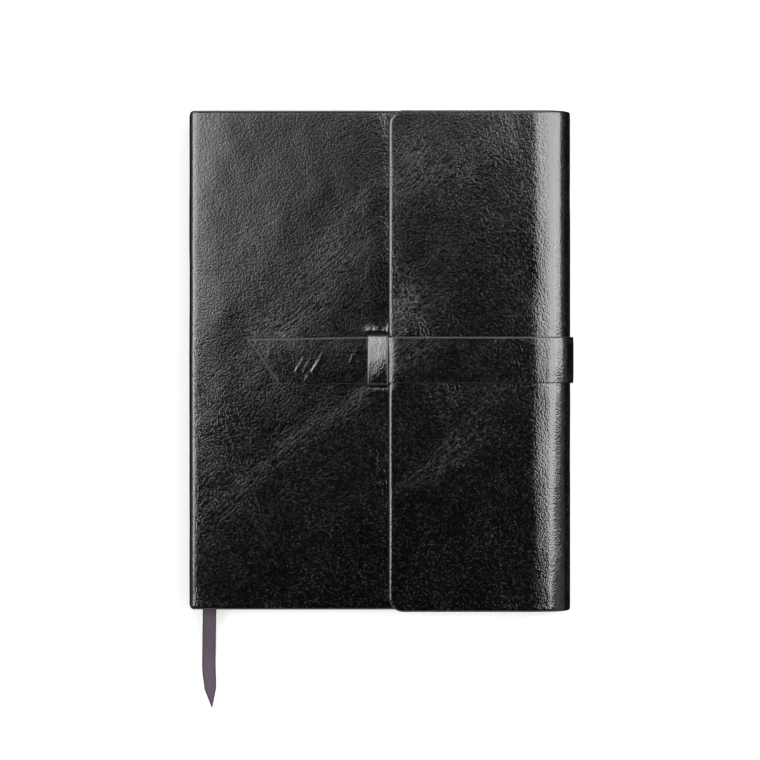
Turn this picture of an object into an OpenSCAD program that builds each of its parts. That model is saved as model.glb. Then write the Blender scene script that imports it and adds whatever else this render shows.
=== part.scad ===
// A soft leather notebook with a fore-edge flap, closed by a strap through a keeper loop.
// It lies on its back cover: +X to the fore edge, +Y to the head, +Z out of the front cover.

/* [Case] */
// Height of the front cover, tail to head
cover_h = 217; // [190:1:240]
// Width over the leather, spine to fore edge
case_w = 166.4; // [160:0.1:180]
// How much further than the front cover the flap reaches at the tail
flap_drop = 0.9; // [0:0.1:2]
// Width of the flap, from the fore edge to its free edge
flap_w = 79.45; // [60:0.05:100]
// Thickness of the leather
leather_t = 1; // [0.8:0.1:1.2]
// Thickness of the card inside the covers and the spine
card_t = 0.6; // [0.4:0.1:0.8]
// Thickness of the lining inside the flap and the fore edge
lining_t = 0.4; // [0.3:0.1:0.5]
// Radius of the corners of the flap and the covers
cover_corner_r = 6.2; // [3:0.1:8]
// Outer radius of the leather where it turns round the spine
spine_r = 2.5; // [2:0.1:3]
// Outer radius of the fold at the back of the fore edge
back_fold_r = 6; // [5:0.1:7]
// Outer radius of the fold at the front of the fore edge
front_fold_r = 10; // [9:0.1:11]

/* [Pages] */
// Width of a page
page_w = 148; // [140:1:150]
// Height of a page
page_h = 210; // [180:1:212]
// Thickness of one folded section
section_t = 1.12; // [1.05:0.01:1.2]
// Thickness of an endpaper
endpaper_t = 0.2; // [0.1:0.05:0.25]
// Radius of the pages' outer corners
page_corner_r = 5; // [2:0.5:8]
// From the outside of the spine to the backs of the sections
spine_room = 3.4; // [3.2:0.1:3.6]
// How far the covers reach past the pages at the fore edge
square_w = 3; // [2:0.5:4]

/* [Strap] */
// Width of the strap
strap_w = 20.2; // [18:0.1:22]
// Thickness of the strap
strap_t = 1.45; // [1.2:0.05:1.5]
// Thickness of the strap's skived end inside the back cover
skived_t = 0.6; // [0.4:0.1:0.6]
// From the flap's free edge to the tip of the tail
tail_reach = 61.9; // [50:0.1:70]
// How far the slanted end runs back from the tip
tail_slant = 14.8; // [5:0.1:20]
// How far the tail slopes towards the tail of the book by its tip
tail_dip = 1.1; // [0:0.1:2]
// Width of the keeper loop along the strap
keeper_w = 8.8; // [6:0.1:10]
// Thickness of the keeper loop
keeper_t = 0.8; // [0.6:0.1:1]
// Length of the keeper's tabs under the front cover's leather
keeper_tab = 8; // [5:0.5:9]

/* [Ribbon marker] */
// Width of the ribbon
ribbon_w = 6; // [4:0.5:8]
// Thickness of the ribbon
ribbon_t = 0.3; // [0.2:0.05:0.4]

/* [Hidden] */
$fn = 64;

LEATHER = [0.07, 0.07, 0.075];
LINING = [0.11, 0.11, 0.115];
CARD = [0.12, 0.12, 0.12];
PAPER = [0.93, 0.9, 0.82];
ENDPAPER = [0.88, 0.86, 0.8];
GAUZE = [0.85, 0.84, 0.8];
BAND = [0.5, 0.46, 0.5];
RIBBON = [0.41, 0.36, 0.41];

air = 0.05;        // clearance between pieces that only lie on each other
ribbon_air = 0.61; // space between the two halves of the book, where the ribbon lies
split_deg = 0.3;   // half of the angle left open where a fold is split between two panels
board_past = 1;    // how far the cards reach past the pages
paper_past = 0.6;  // how far the pastedowns reach past the pages
inlay_inset = 3;   // the spine's card stops short of the leather's ends
half_sections = 6; // paper sections in each half of the book
gauze_t = 0.3;     // thickness of the gauze on the sections' backs
gauze_inset = 10;  // the gauze stops short of the head and tail of the pages
bead_r = 0.8;      // radius of the head and tail bands
bead_over = 0.2;   // how far a band hangs over the backs of the sections
window_gap = 0.2;  // space round what is let into a card
anchor_w = 26;     // how far the strap's glued end reaches in from the cover's edge
slit_rise = 0.4;   // the slit for the strap starts just above the back fold
slit_h = 1.2;      // height of that slit
slope_lead = 0.3;  // the strap starts to slope down just before the flap's edge
slope_run = 0.1;   // and reaches the cover just past the keeper
keeper_back = 0.55; // the keeper stands clear of the flap's edge

// heights of the layers
cover_t = leather_t + card_t + endpaper_t;
lower_z = cover_t + endpaper_t;
lower_top = lower_z + half_sections * section_t;
upper_z = lower_top + ribbon_air;
upper_top = upper_z + half_sections * section_t;
front_in = upper_top + endpaper_t + air;
front_out = front_in + cover_t;
flap_in = front_out + air;
flap_out = flap_in + lining_t + leather_t;
strap_in = flap_out + air;
strap_out = strap_in + strap_t;
tail_in = front_out + air;

// edges across the book
x_spine = -(case_w + air + strap_t) / 2;
x_fore = x_spine + case_w;
x_flap = x_fore - flap_w;
x_block = x_spine + spine_room;
x_pages = x_block + page_w;
x_cover = x_pages + square_w;
x_board = x_pages + board_past;

// edges along the book
y_head = (cover_h + flap_drop) / 2;
y_tail = y_head - cover_h;
y_drop = y_tail - flap_drop;
y_mid = (y_head + y_tail) / 2;
page_head = y_mid + page_h / 2;
page_tail = y_mid - page_h / 2;

// centres of the folds, in X and Z
spine_back = [x_spine + spine_r, spine_r];
spine_front = [x_spine + spine_r, front_out - spine_r];
fore_back = [x_fore - back_fold_r, back_fold_r];
fore_front = [x_fore - front_fold_r, flap_out - front_fold_r];

// the strap's way through the keeper
strap_half = strap_w / 2;
keeper_gap = 0.2;
keeper_right = x_flap - keeper_back;
keeper_left = keeper_right - keeper_w;
keeper_in = strap_half + keeper_gap;
keeper_out = keeper_in + keeper_t;
slope_right = x_flap + slope_lead;
slope_left = keeper_left - slope_run;
slope = (strap_in - tail_in) / (slope_right - slope_left);
slit_fit = 0.05; // clearance round a strap or loop in the slit it passes through
slit_z = back_fold_r + slit_rise;
slit_top = slit_z + slit_h;
anchor_left = x_cover - anchor_w;

// route of the ribbon's free end, from the tail of the pages to the tip
RIBBON_ROUTE = [
    [-75.6, -104.55, 8.87], [-75.65, -107.5, 8.85], [-75.7, -110.5, 8.4], [-75.85, -113.5, 7.4],
    [-76, -116.5, 6], [-76.15, -119.5, 4.4], [-76.3, -122.5, 2.95], [-76.4, -125.5, 1.75],
    [-76.5, -128.5, 0.95], [-76.6, -131.5, 0.5], [-76.6, -135, 0.35], [-76.5, -139, 0.3],
    [-76.3, -143, 0.3], [-76, -147, 0.3], [-75.7, -150.5, 0.3], [-75.5, -153.6, 0.3]
];

// ---- shared shapes ----

module slab(x, y, z) {
    translate([x[0], y[0], z[0]]) cube([x[1] - x[0], y[1] - y[0], z[1] - z[0]]);
}

// an X-Z profile, drawn in the plane, that runs along Y
module along_y(y) {
    translate([0, y[1], 0]) rotate([90, 0, 0]) linear_extrude(y[1] - y[0]) children();
}

module box2(x, z) {
    translate([x[0], z[0]]) square([x[1] - x[0], z[1] - z[0]]);
}

// part of a ring round a fold's centre, between two angles
module ring2(centre, r_in, r_out, from, to) {
    reach = 2 * r_out;
    middle = (from + to) / 2;
    translate(centre) intersection() {
        difference() {
            circle(r_out);
            circle(r_in);
        }
        polygon([
            [0, 0],
            [reach * cos(from), reach * sin(from)],
            [reach * cos(middle), reach * sin(middle)],
            [reach * cos(to), reach * sin(to)]
        ]);
    }
}

// takes a rounded corner off; toward gives the side that the corner points to
module corner_off(x, y, r, toward) {
    translate([x, y, -1]) mirror([toward[0] < 0 ? 1 : 0, 0, 0]) mirror([0, toward[1] < 0 ? 1 : 0, 0])
        translate([-r, -r, 0]) difference() {
            cube([r + 1, r + 1, strap_out + 5]);
            translate([0, 0, -1]) cylinder(r = r, h = strap_out + 7);
        }
}

// a sheet with rounded corners at the fore edge
module sheet(x, y, z, r) {
    difference() {
        slab(x, y, z);
        corner_off(x[1], y[1], r, [1, 1]);
        corner_off(x[1], y[0], r, [1, -1]);
    }
}

// the strip of the case that the strap lies in, widened by a clearance
function strap_y(clear) = [y_mid - strap_half - clear, y_mid + strap_half + clear];

// ---- pages ----

// one folded section; index counts up from the bottom of its half
module section(base, index) {
    z = base + index * section_t;
    color(PAPER) sheet([x_block, x_pages], [page_tail, page_head], [z, z + section_t], page_corner_r);
}

module flyleaf(z) {
    color(ENDPAPER)
        sheet([x_block, x_pages], [page_tail, page_head], [z, z + endpaper_t], page_corner_r);
}

module mull(z) {
    color(GAUZE)
        slab([x_block - gauze_t, x_block], [page_tail + gauze_inset, page_head - gauze_inset], z);
}

// a bead with a flat foot on the pages' edge; side is 1 at the head and -1 at the tail
module band(z, side) {
    edge = side > 0 ? page_head : page_tail;
    color(BAND) translate([x_block + bead_r - bead_over, edge, z[0]]) union() {
        translate([-bead_r, side > 0 ? 0 : -bead_r, 0]) cube([2 * bead_r, bead_r, z[1] - z[0]]);
        translate([0, side * bead_r, 0]) cylinder(r = bead_r, h = z[1] - z[0]);
    }
}

module section_01() { section(upper_z, 5); }
module section_02() { section(upper_z, 4); }
module section_03() { section(upper_z, 3); }
module section_04() { section(upper_z, 2); }
module section_05() { section(upper_z, 1); }
module section_06() { section(upper_z, 0); }
module section_07() { section(lower_z, 5); }
module section_08() { section(lower_z, 4); }
module section_09() { section(lower_z, 3); }
module section_10() { section(lower_z, 2); }
module section_11() { section(lower_z, 1); }
module section_12() { section(lower_z, 0); }
module back_flyleaf() { flyleaf(cover_t); }
module front_flyleaf() { flyleaf(upper_top); }
module mull_lower() { mull([lower_z, lower_top]); }
module mull_upper() { mull([upper_z, upper_top]); }
module headband_lower() { band([lower_z, lower_top], 1); }
module tailband_lower() { band([lower_z, lower_top], -1); }
module headband_upper() { band([upper_z, upper_top], 1); }
module tailband_upper() { band([upper_z, upper_top], -1); }

// a cover's stiffening card, a little larger than the pages
module board(z) {
    sheet([x_block, x_board], [page_tail - board_past, page_head + board_past], z, page_corner_r);
}

module pastedown(z) {
    color(ENDPAPER) sheet([x_block, x_pages + paper_past],
        [page_tail - paper_past, page_head + paper_past], z, page_corner_r);
}

// ---- back case ----

module back_cover_leather() {
    color(LEATHER) intersection() {
        along_y([y_drop, y_head]) union() {
            box2([spine_back[0], fore_back[0]], [0, leather_t]);
            ring2(spine_back, spine_r - leather_t, spine_r, 225 + split_deg, 270);
            ring2(fore_back, back_fold_r - leather_t, back_fold_r, 270, 315 - split_deg);
        }
        // the tail edge is cut a little aslant, from the spine's height to the flap's
        linear_extrude(back_fold_r) polygon([
            [x_spine, y_tail], [fore_back[0], y_drop], [x_fore, y_drop],
            [x_fore, y_head], [x_spine, y_head]
        ]);
    }
}

module back_edge_lining() {
    color(LINING) difference() {
        along_y([y_drop, y_head]) union() {
            box2([x_board + air, fore_back[0]], [leather_t, leather_t + lining_t]);
            ring2(fore_back, back_fold_r - leather_t - lining_t, back_fold_r - leather_t,
                270, 315 - split_deg);
        }
        slab([x_pages, x_fore], strap_y(air), [0, back_fold_r]);
    }
}

module back_board() {
    color(CARD) difference() {
        board([leather_t, leather_t + card_t]);
        slab([anchor_left - air, x_cover], strap_y(air), [0, cover_t]);
    }
}

module back_pastedown() {
    pastedown([leather_t + card_t, cover_t]);
}

module strap_anchor() {
    color(LEATHER) along_y(strap_y(0)) union() {
        box2([anchor_left, fore_back[0]], [leather_t, leather_t + skived_t]);
        ring2(fore_back, back_fold_r - leather_t - skived_t, back_fold_r - leather_t,
            270, 315 - split_deg);
    }
}

module ribbon_marker() {
    color(RIBBON) translate([RIBBON_ROUTE[0][0] - ribbon_w / 2, page_tail, lower_top])
        cube([ribbon_w, page_h - 1, ribbon_t]);
}

// the eight corners of the ribbon's section: how far across, and how far up
function ribbon_section() = [
    for (s = [[-1, -0.3], [-0.95, -1], [0.95, -1], [1, -0.3], [1, 0.3], [0.95, 1], [-0.95, 1], [-1, 0.3]])
    [s[0] * ribbon_w / 2, s[1] * ribbon_t / 2]
];

function unit(v) = v / norm(v);

// the route's direction at point i
function ribbon_way(i) = unit(
    RIBBON_ROUTE[min(i + 1, len(RIBBON_ROUTE) - 1)] - RIBBON_ROUTE[max(i - 1, 0)]
);

// one ring of the ribbon's skin; the first lies flat against the pages' tail
function ribbon_ring(i) = let (
    way = i == 0 ? [0, -1, 0] : ribbon_way(i),
    across = unit(cross([0, 0, 1], way)),
    up = cross(way, across)
) [for (s = ribbon_section()) RIBBON_ROUTE[i] + s[0] * across + s[1] * up];

module ribbon_tail() {
    rings = len(RIBBON_ROUTE);
    sides = 8;
    color(RIBBON) polyhedron(
        points = [for (i = [0:rings - 1]) each ribbon_ring(i)],
        faces = concat(
            [[for (k = [0:sides - 1]) k]],
            [for (i = [0:rings - 2]) for (k = [0:sides - 1]) let (n = (k + 1) % sides)
                [i * sides + k, (i + 1) * sides + k, (i + 1) * sides + n, i * sides + n]],
            [[for (k = [sides - 1:-1:0]) (rings - 1) * sides + k]]
        ),
        convexity = 4
    );
}

// ---- spine ----

module spine_leather() {
    color(LEATHER) along_y([y_tail, y_head]) union() {
        box2([x_spine, x_spine + leather_t], [spine_r, front_out - spine_r]);
        ring2(spine_back, spine_r - leather_t, spine_r, 180, 225 - split_deg);
        ring2(spine_front, spine_r - leather_t, spine_r, 135 + split_deg, 180);
    }
}

module spine_inlay() {
    color(CARD) slab([x_spine + leather_t, x_spine + leather_t + card_t],
        [y_tail + inlay_inset, y_head - inlay_inset],
        [spine_r + window_gap, front_out - spine_r - window_gap]);
}

// ---- front cover ----

// one slit for the keeper, on the side of the strap that is given
module keeper_slit(side) {
    y = side * keeper_in;
    slab([keeper_left - slit_fit, keeper_right + slit_fit],
        [y_mid + min(y, y + side * keeper_t) - slit_fit, y_mid + max(y, y + side * keeper_t) + slit_fit],
        [front_out - leather_t - 1, front_out + 1]);
}

module front_cover_leather() {
    color(LEATHER) difference() {
        along_y([y_tail, y_head]) union() {
            box2([spine_front[0], x_cover], [front_out - leather_t, front_out]);
            ring2(spine_front, spine_r - leather_t, spine_r, 90, 135 - split_deg);
        }
        corner_off(x_cover, y_head, cover_corner_r, [1, 1]);
        corner_off(x_cover, y_tail, cover_corner_r, [1, -1]);
        keeper_slit(1);
        keeper_slit(-1);
    }
}

module front_board() {
    color(CARD) difference() {
        board([front_out - leather_t - card_t, front_out - leather_t]);
        slab([keeper_left - window_gap, keeper_right + window_gap],
            [y_mid - keeper_out - window_gap, y_mid + keeper_out + window_gap], [front_in, front_out]);
    }
}

module front_pastedown() {
    pastedown([front_in, front_in + endpaper_t]);
}

// the strap's upper face over the slope, at a place across the book
function strap_face(x) = tail_in + strap_t + (x - slope_left) * slope;

module keeper_loop() {
    low = [strap_face(keeper_left) + keeper_gap / 2, strap_face(keeper_right) + keeper_gap / 2];
    foot = front_out - leather_t - card_t;
    color(LEATHER) union() {
        along_y([y_mid - keeper_out, y_mid + keeper_out]) polygon([
            [keeper_left, low[0]], [keeper_right, low[1]],
            [keeper_right, low[1] + keeper_t], [keeper_left, low[0] + keeper_t]
        ]);
        for (y = [-keeper_out, keeper_in]) along_y([y_mid + y, y_mid + y + keeper_t]) polygon([
            [keeper_left, foot], [keeper_right, foot], [keeper_right, low[1]], [keeper_left, low[0]]
        ]);
        for (y = [-keeper_out, keeper_out - keeper_tab])
            slab([keeper_left, keeper_right], [y_mid + y, y_mid + y + keeper_tab],
                [foot, foot + card_t]);
    }
}

// ---- fore edge ----

module fore_edge_leather() {
    color(LEATHER) difference() {
        along_y([y_drop, y_head]) union() {
            box2([x_fore - leather_t, x_fore], [fore_back[1], fore_front[1]]);
            ring2(fore_back, back_fold_r - leather_t, back_fold_r, 315 + split_deg, 360);
            ring2(fore_front, front_fold_r - leather_t, front_fold_r, 0, 45 - split_deg);
        }
        slab([x_fore - 2 * leather_t, x_fore + 1], strap_y(slit_fit),
            [slit_z - slit_fit, slit_top + slit_fit]);
    }
}

module fore_edge_lining() {
    lining_r = front_fold_r - leather_t;
    inner_r = back_fold_r - leather_t;
    color(LINING) difference() {
        along_y([y_drop, y_head]) union() {
            box2([x_fore - leather_t - lining_t, x_fore - leather_t], [fore_back[1], fore_front[1]]);
            ring2(fore_back, inner_r - lining_t, inner_r, 315 + split_deg, 360);
            ring2(fore_front, lining_r - lining_t, lining_r, 0, 45 - split_deg);
        }
        slab([x_cover, x_fore + 1], strap_y(slit_fit), [0, slit_top + slit_fit]);
    }
}

// it comes out of the slit in the fore edge and climbs to the front fold
module strap_side() {
    inner_x = x_fore - leather_t - skived_t;
    inner_r = back_fold_r - leather_t;
    outer_x = x_fore + air;
    bend_r = front_fold_r + air;
    color(LEATHER) along_y(strap_y(0)) union() {
        ring2(fore_back, inner_r - skived_t, inner_r, 315 + split_deg, 360);
        box2([inner_x, inner_x + skived_t], [fore_back[1], slit_top]);
        box2([inner_x, outer_x + strap_t], [slit_z, slit_top]);
        box2([outer_x, outer_x + strap_t], [slit_z, fore_front[1]]);
        ring2(fore_front, bend_r, bend_r + strap_t, 0, 45 - split_deg);
    }
}

// ---- flap ----

// a layer of the flap: its flat stretch and its half of the front fold
module flap_layer(z, r_in, r_out) {
    difference() {
        along_y([y_drop, y_head]) union() {
            box2([x_flap, fore_front[0]], z);
            ring2(fore_front, r_in, r_out, 45 + split_deg, 90);
        }
        corner_off(x_flap, y_head, cover_corner_r, [-1, 1]);
        corner_off(x_flap, y_drop, cover_corner_r, [-1, -1]);
    }
}

module flap_leather() {
    color(LEATHER)
        flap_layer([flap_out - leather_t, flap_out], front_fold_r - leather_t, front_fold_r);
}

module flap_lining() {
    inner_r = front_fold_r - leather_t - lining_t;
    color(LINING) flap_layer([flap_in, flap_in + lining_t], inner_r, inner_r + lining_t);
}

// the strap where it lies over the flap's half of the front fold
module strap_fold() {
    bend_r = front_fold_r + air;
    color(LEATHER) along_y(strap_y(0))
        ring2(fore_front, bend_r, bend_r + strap_t, 45 + split_deg, 90);
}

// ---- strap ----

module strap_front() {
    color(LEATHER) slab([slope_right, fore_front[0] - air], strap_y(0), [strap_in, strap_out]);
}

module strap_tail() {
    tip_x = x_flap - tail_reach;
    heel_x = tip_x + tail_slant;
    y = strap_y(0);
    color(LEATHER) intersection() {
        along_y([y[0] - tail_dip, y[1]]) polygon([
            [slope_right, strap_in], [slope_left, tail_in], [tip_x, tail_in],
            [tip_x, tail_in + strap_t], [slope_left, tail_in + strap_t], [slope_right, strap_out]
        ]);
        linear_extrude(strap_out + 1) polygon([
            [slope_right, y[1]], [slope_left, y[1]], [tip_x, y[1] - tail_dip],
            [heel_x, y[0] - tail_dip], [slope_left, y[0]], [slope_right, y[0]]
        ]);
    }
}

back_cover_leather();
back_edge_lining();
back_board();
back_pastedown();
back_flyleaf();
section_07();
section_08();
section_09();
section_10();
section_11();
section_12();
mull_lower();
headband_lower();
tailband_lower();
ribbon_marker();
ribbon_tail();
strap_anchor();
spine_leather();
spine_inlay();
front_cover_leather();
front_board();
front_pastedown();
keeper_loop();
section_01();
section_02();
section_03();
section_04();
section_05();
section_06();
front_flyleaf();
mull_upper();
headband_upper();
tailband_upper();
fore_edge_leather();
fore_edge_lining();
strap_side();
flap_leather();
flap_lining();
strap_fold();
strap_front();
strap_tail();
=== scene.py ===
import math

import bpy
import numpy as np
from mathutils import Matrix, Quaternion, Vector


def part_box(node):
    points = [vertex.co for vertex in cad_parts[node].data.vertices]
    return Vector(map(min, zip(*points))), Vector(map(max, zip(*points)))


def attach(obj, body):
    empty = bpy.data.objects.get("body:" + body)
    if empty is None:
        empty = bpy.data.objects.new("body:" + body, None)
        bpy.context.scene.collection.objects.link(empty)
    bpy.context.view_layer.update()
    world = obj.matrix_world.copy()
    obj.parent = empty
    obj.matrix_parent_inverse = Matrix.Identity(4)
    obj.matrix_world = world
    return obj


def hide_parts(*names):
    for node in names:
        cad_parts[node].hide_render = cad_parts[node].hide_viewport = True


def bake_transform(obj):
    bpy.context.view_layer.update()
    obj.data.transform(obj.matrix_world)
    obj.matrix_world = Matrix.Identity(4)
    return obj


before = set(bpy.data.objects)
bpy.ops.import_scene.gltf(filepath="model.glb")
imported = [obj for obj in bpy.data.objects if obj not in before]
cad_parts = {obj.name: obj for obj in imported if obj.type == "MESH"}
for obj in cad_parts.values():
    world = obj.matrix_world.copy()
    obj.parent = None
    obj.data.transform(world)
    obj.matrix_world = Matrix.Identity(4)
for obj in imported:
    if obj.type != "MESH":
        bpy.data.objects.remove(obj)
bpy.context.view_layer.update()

MM = 0.001


def box_mm(node):
    """A CAD node's lowest and highest corners, in millimetres."""
    return [[c / MM for c in corner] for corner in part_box(node)]


# ---- measures in millimetres: thicknesses and radii as in the part's source, the rest from the frame ----

LEATHER_T = 1.0
LINING_T = 0.4
CARD_T = 0.6
RIBBON_T = 0.26
KEEPER_T = 0.8
SPINE_R = 2.5
BACK_R = 6.0
FRONT_R = 10.0
COVER_CORNER = 6.2
PAGE_CORNER = 5.0

COVER_LO, COVER_HI = box_mm("front_cover_leather")
FLAP_LO, FLAP_HI = box_mm("flap_leather")
STRAP_LO, STRAP_HI = box_mm("strap_front")
TAIL_LO, TAIL_HI = box_mm("strap_tail")
KEEPER_LO, KEEPER_HI = box_mm("keeper_loop")
X_SPINE = box_mm("spine_leather")[0][0]
X_FORE = box_mm("fore_edge_leather")[1][0]
X_COVER, Y_HEAD, FRONT_OUT = COVER_HI
Y_TAIL = COVER_LO[1]
X_FLAP, Y_DROP = FLAP_LO[0], FLAP_LO[1]
FLAP_OUT = FLAP_HI[2]
Y_MID = (STRAP_LO[1] + STRAP_HI[1]) / 2
STRAP_HALF = (STRAP_HI[1] - STRAP_LO[1]) / 2
STRAP_IN, STRAP_OUT = STRAP_LO[2], STRAP_HI[2]
STRAP_T = STRAP_OUT - STRAP_IN
KEEPER_OUT = KEEPER_HI[1] - Y_MID
KEEPER_IN = KEEPER_OUT - KEEPER_T
SPINE_BACK = (X_SPINE + SPINE_R, SPINE_R)
SPINE_FRONT = (X_SPINE + SPINE_R, FRONT_OUT - SPINE_R)
FORE_BACK = (X_FORE - BACK_R, BACK_R)
FORE_FRONT = (X_FORE - FRONT_R, FLAP_OUT - FRONT_R)
SLIT_Z = 7.0  # where the strap comes out through the fore edge


def fold_sink(u, r, crown, total):
    """A crown added before a fold of radius r, at a distance u in from the fold's outside."""
    t = np.clip(1 - u / r, 0, 1)
    return crown - total * (1 - np.sqrt(1 - t * t))


def sink(x):
    """How far the front's faces dip towards the spine's fold and the fore edge's."""
    reach = 17.0
    u = x - X_SPINE
    depth = 0.40
    at_spine = fold_sink(u, SPINE_R, depth * np.clip(1 - u / reach, 0, 1) ** 2, depth)
    u = X_FORE - x
    ramp, slope, more = 1.7, math.tan(math.radians(4.4)), 0.0034

    def dip(run):
        return slope * np.where(run < ramp, run * run / (2 * ramp), run - ramp / 2) + more * run * run / 2

    at_fore = fold_sink(u, FRONT_R, dip(np.clip(reach - u, 0, reach)), float(dip(np.array(reach))))
    return np.where(x < 0, at_spine, at_fore)


def in_scene(name, data):
    """A new object, linked to the scene."""
    thing = bpy.data.objects.new(name, data)
    bpy.context.scene.collection.objects.link(thing)
    return thing


# ---- camera ----

CAMERA_HEIGHT = 0.95  # metres above the flap
CAMERA_X = -0.0009
PHOTO_WIDTH = 0.3297  # what the picture's width shows at the flap's height
LOWERED = 1 / 38  # how far the picture is moved down, as a part of its width


def make_camera():
    data = bpy.data.cameras.new("camera")
    data.sensor_width = 36
    data.lens = data.sensor_width * CAMERA_HEIGHT / PHOTO_WIDTH
    data.shift_y = -LOWERED
    data.clip_start = 0.05
    camera = in_scene("camera", data)
    camera.location = (CAMERA_X, Y_MID * MM, FLAP_OUT * MM + CAMERA_HEIGHT)
    bpy.context.scene.camera = camera


make_camera()


# ---- material building ----

class Paint:
    """A node material, with short ways to add and link nodes."""

    def __init__(self, name, color, roughness, **settings):
        self.material = bpy.data.materials.new(name)
        self.material.use_nodes = True
        self.tree = self.material.node_tree
        self.shader = self.tree.nodes["Principled BSDF"]
        self.shader.inputs["Base Color"].default_value = (*color, 1)
        self.shader.inputs["Roughness"].default_value = roughness
        for key, value in settings.items():
            self.shader.inputs[key].default_value = value

    def add(self, kind, inputs=None, **options):
        node = self.tree.nodes.new("ShaderNode" + kind)
        for key, value in options.items():
            setattr(node, key, value)
        for key, value in (inputs or {}).items():
            self.set(node.inputs[key], value)
        return node

    def set(self, socket, value):
        if isinstance(value, bpy.types.NodeSocket):
            self.tree.links.new(value, socket)
        else:
            socket.default_value = value

    def shade(self, name, value):
        self.set(self.shader.inputs[name], value)

    def flat(self):
        """The unrolled sheet's own coordinates, in metres."""
        return self.add("UVMap", uv_map="flat").outputs["UV"]

    def edge(self):
        """1 at a sheet's cut edge, 0 away from it."""
        return self.add("Attribute", attribute_name="edge").outputs["Fac"]

    def math(self, operation, a, b=0.0, c=0.0):
        node = self.add("Math", operation=operation)
        for socket, value in zip(node.inputs, (a, b, c)):
            self.set(socket, value)
        return node.outputs[0]

    def span(self, value, low, high, to_low=0.0, to_high=1.0):
        node = self.add("MapRange", {"Value": value, "From Min": low, "From Max": high,
                                     "To Min": to_low, "To Max": to_high})
        return node.outputs["Result"]

    def noise(self, vector, scale, detail=2.0, roughness=0.5):
        node = self.add("TexNoise", {"Vector": vector, "Scale": scale, "Detail": detail,
                                     "Roughness": roughness})
        return node.outputs["Fac"]

    def warp(self, vector, scale, amount):
        """The coordinates, pushed about by noise so that a pattern has no straight runs."""
        colour = self.add("TexNoise", {"Vector": vector, "Scale": scale, "Detail": 2.0}).outputs["Color"]
        moved = self.add("VectorMath", {0: colour, 1: (0.5, 0.5, 0.5)}, operation="SUBTRACT")
        sized = self.add("VectorMath", {0: moved.outputs[0]}, operation="SCALE")
        sized.inputs["Scale"].default_value = amount
        return self.add("VectorMath", {0: vector, 1: sized.outputs[0]}, operation="ADD").outputs[0]

    def bump(self, height, strength, distance, under=None):
        inputs = {"Height": height, "Strength": strength, "Distance": distance}
        if under is not None:
            inputs["Normal"] = under
        return self.add("Bump", inputs).outputs["Normal"]

    def mix(self, factor, a, b):
        """One colour turning into another; each is three numbers or a socket."""
        node = self.add("Mix", {"Factor": factor}, data_type="RGBA")
        for number, colour in ((6, a), (7, b)):
            self.set(node.inputs[number], (*colour, 1) if isinstance(colour, tuple) else colour)
        return node.outputs[2]


def flow_creases(p, flat, turn, spacing, place, amount):
    """Faint creases that run one way, in patches."""
    laid = p.add("Mapping", {"Vector": flat, "Location": (place, -place, 0), "Rotation": (0, 0, turn),
                             "Scale": (1, 4.0, 1)}, vector_type="TEXTURE").outputs[0]
    level = p.noise(p.warp(laid, 120, 0.003), 1 / spacing, 3, 0.6)
    ridge = p.math("ABSOLUTE", p.math("SUBTRACT", level, 0.5))
    patch = p.span(p.noise(laid, 34, 2, 0.5), 0.50, 0.68)
    return p.math("MULTIPLY", p.span(ridge, 0.0, 0.06, amount, 0), patch)


def leather(name, cell, grain_depth, roughness, crease, cut):
    """Black leather: pebbles of different tones, pits darkened with painted shade, fine pores, faint
    creases, a paler cut edge.
    """
    p = Paint(name, (0.004, 0.004, 0.004), roughness, **{"IOR": 1.6, "Specular IOR Level": 1.0,
                                                          "Coat Weight": 0.02, "Coat Roughness": 0.34})
    flat = p.flat()
    cells = p.add("TexVoronoi", {"Vector": p.warp(flat, 480, 0.0005), "Scale": 1 / cell,
                                 "Smoothness": 0.22}, feature="SMOOTH_F1")
    pit = p.math("POWER", p.span(cells.outputs["Distance"], 0.12, 0.78), 2.2)
    tone = p.math("POWER", p.add("SeparateXYZ", {0: cells.outputs["Color"]}).outputs[0], 3.0)
    pebble = p.math("SUBTRACT", 1.0, pit)
    pores = p.noise(flat, 2600, 3, 0.6)
    creases = p.math("ADD", flow_creases(p, flat, 0.9, 0.0019, 0.0, 0.6),
                     flow_creases(p, flat, -0.35, 0.0022, 0.4, 0.5))
    soft = p.noise(flat, 160, 3, 0.55)
    normal = p.bump(soft, 0.25 * crease, 0.00006)
    normal = p.bump(creases, 0.5 * crease, 0.00008, normal)
    normal = p.bump(pebble, 0.66, grain_depth, normal)
    normal = p.bump(pores, 0.15, 0.00002, normal)
    p.shade("Normal", normal)
    p.shade("Coat Normal", normal)
    patch = p.noise(flat, 55, 4, 0.6)
    rough = p.math("ADD", p.span(patch, 0.3, 0.7, roughness - 0.015, roughness + 0.02),
                   p.span(pebble, 0, 1, 0.04, -0.01))
    p.shade("Roughness", p.math("ADD", rough, p.span(p.edge(), 0.1, 0.8, 0, 0.22)))
    worn = p.math("MULTIPLY", tone, p.span(patch, 0.3, 0.7, 0.55, 1.0))
    top = p.mix(worn, (0.0008, 0.0008, 0.0009), (0.055, 0.054, 0.0535))
    # painted shade: the pits of the grain are darkened nearly to black
    body = p.mix(p.span(pit, 0.05, 0.5), top, (0.0003, 0.0003, 0.0003))
    cut_colour = (cut, cut * 0.97, cut * 0.95)
    p.shade("Base Color", p.mix(p.span(p.edge(), 0.35, 1.0, 0, 0.8), body, cut_colour))
    return p.material


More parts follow.
